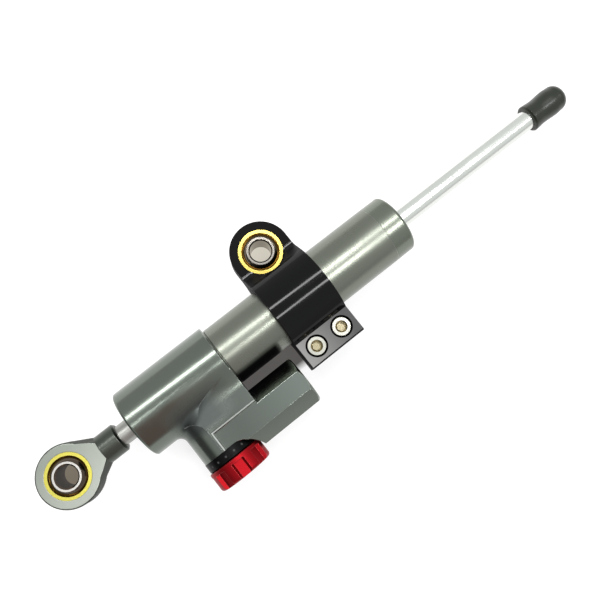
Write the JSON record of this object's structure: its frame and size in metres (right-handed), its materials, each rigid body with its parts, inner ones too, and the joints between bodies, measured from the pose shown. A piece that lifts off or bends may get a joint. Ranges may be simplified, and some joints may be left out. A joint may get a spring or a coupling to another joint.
{
  "type": "steering damper",
  "caption": "Adjustable hydraulic steering damper: through-rod cylinder with rod end, sliding clamp with bearing, side reservoir and red adjuster knob.",
  "frame": {"origin": "centre of the rod end's ball, on the axis of its bolt bore", "axes": "+X along the damper from the rod end to the rubber cap, +Z along both bolt bores, out of the side with the clamp's screw heads; the adjuster knob and reservoir are on the -Y side and the clamp's lug on the +Y side"},
  "size_m": [0.25, 0.0725, 0.032],
  "materials": {
    "block_metal": "glossy titanium grey anodising",
    "tube_metal": "glossy titanium grey anodising",
    "rod_end_metal": "satin plated, polished sides",
    "race_brass": "bright yellow",
    "ball_steel": "polished",
    "rod_chrome": "mirror polish",
    "clamp_black": "glossy black anodising",
    "knob_red": "glossy red anodising with polished rim",
    "cap_rubber": "smooth, faint sheen",
    "seal_rubber": "smooth",
    "screw_steel": "bright stainless",
    "inner_steel": "ground",
    "inner_aluminium": "machined",
    "valve_brass": "machined",
    "bush_bronze": "machined",
    "band_plastic": "smooth"
  },
  "bodies": {
    "cylinder": {"valve_block": "block_metal", "outer_tube": "tube_metal", "inner_tube": "inner_steel", "end_cap": "tube_metal", "front_guide_bush": "bush_bronze", "rear_guide_bush": "bush_bronze", "front_rod_seal": "seal_rubber", "rear_rod_seal": "seal_rubber", "front_wiper": "seal_rubber", "rear_wiper": "seal_rubber", "tube_oring": "seal_rubber", "end_cap_oring": "seal_rubber", "dial_ring": "clamp_black", "gland_nut": "valve_brass", "valve_seat": "valve_brass", "reservoir_plug": "clamp_black", "plug_oring": "seal_rubber", "compensator_spring": "inner_steel", "detent_ball": "inner_steel", "detent_spring": "inner_steel"},
    "compensator": {"compensator_piston": "inner_aluminium", "compensator_oring": "seal_rubber"},
    "piston_band": {"piston_band": "band_plastic"},
    "rod": {"piston_rod": "rod_chrome", "piston": "inner_aluminium", "piston_clips": "inner_steel", "rod_end": "rod_end_metal", "rod_end_race": "race_brass", "rubber_cap": "cap_rubber"},
    "rod_end_ball": {"rod_end_ball": "ball_steel"},
    "clamp": {"clamp": "clamp_black", "clamp_race": "race_brass", "clamp_screws": "screw_steel"},
    "clamp_ball": {"clamp_ball": "ball_steel"},
    "knob": {"knob": "knob_red", "knob_screw": "screw_steel", "spindle": "inner_steel", "spindle_oring": "seal_rubber"},
    "needle": {"needle": "inner_steel"}
  },
  "joints": [
    {"name": "rod_slide", "type": "slide", "parent": "cylinder", "child": "piston_band", "axis": [1, 0, 0], "range_m": [-0.0665, 0.005]},
    {"name": "rod_turn", "type": "hinge", "parent": "piston_band", "child": "rod", "pos_m": [0.1206, 0, 0], "axis": [1, 0, 0], "continuous": true},
    {"name": "rod_end_ball_turn", "type": "hinge", "parent": "rod", "child": "rod_end_ball", "pos_m": [0, 0, 0], "axis": [0, 0, 1], "continuous": true},
    {"name": "clamp_slide", "type": "slide", "parent": "cylinder", "child": "clamp", "axis": [1, 0, 0], "range_m": [-0.003, 0.028]},
    {"name": "clamp_ball_turn", "type": "hinge", "parent": "clamp", "child": "clamp_ball", "pos_m": [0.1031, 0.022, 0], "axis": [0, 0, 1], "continuous": true},
    {"name": "knob_turn", "type": "hinge", "parent": "cylinder", "child": "knob", "pos_m": [0.0495, -0.0345, 0], "axis": [0, 1, 0], "range_deg": [0, 315]},
    {"name": "needle_advance", "type": "slide", "parent": "knob", "child": "needle", "axis": [0, 1, 0], "range_m": [0, 0.0006999]},
    {"name": "compensator_float", "type": "slide", "parent": "cylinder", "child": "compensator", "axis": [1, 0, 0], "range_m": [-0.002, 0.004], "stiffness_N_per_m": 1200, "deforming": ["compensator_spring"]}
  ],
  "couplings": [
    {"joint": "knob_turn", "follows": "needle_advance", "rad_per_m": 7854}
  ]
}
